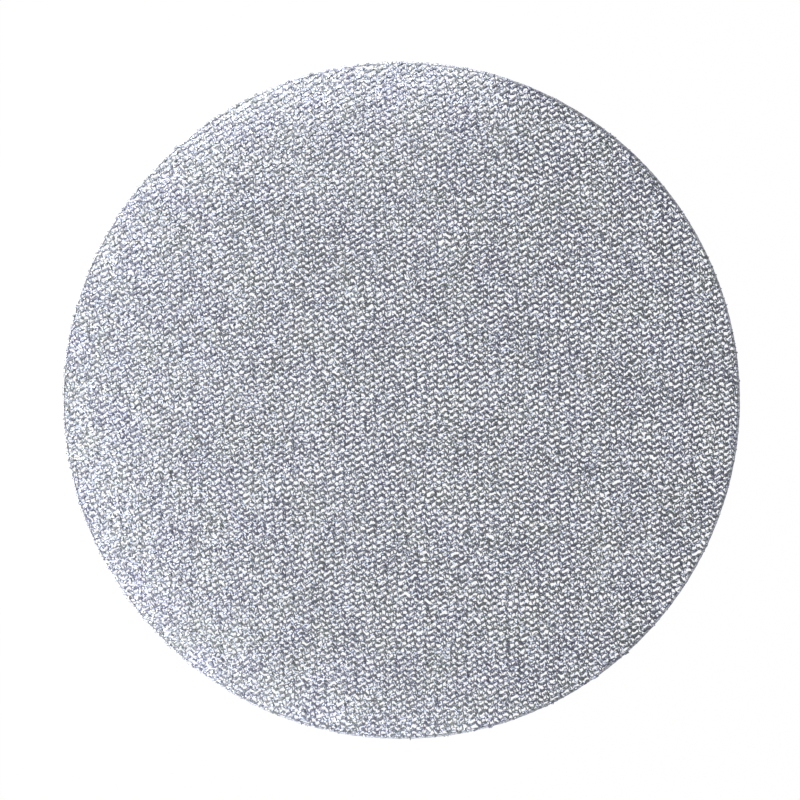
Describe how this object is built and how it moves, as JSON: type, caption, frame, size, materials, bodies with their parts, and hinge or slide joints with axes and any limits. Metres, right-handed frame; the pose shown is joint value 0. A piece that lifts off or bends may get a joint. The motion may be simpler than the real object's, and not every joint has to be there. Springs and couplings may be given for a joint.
{
  "type": "mesh sanding disc",
  "caption": "Round open-mesh abrasive disc for a hook backing pad: a knitted net coated with grit on one face, loop pile on the other, with a sealed rim.",
  "frame": {"origin": "centre of the loop face, the face that clings to the backing pad", "axes": "+Z out of the abrasive face, X along the knitted rows, Y across them"},
  "size_m": [0.15, 0.15, 0.0012],
  "materials": {
    "abrasive_net": "grit-coated knit, slate grey, slightly glossy resin"
  },
  "bodies": {
    "root": {"mesh_disc": "abrasive_net"}
  },
  "joints": []
}
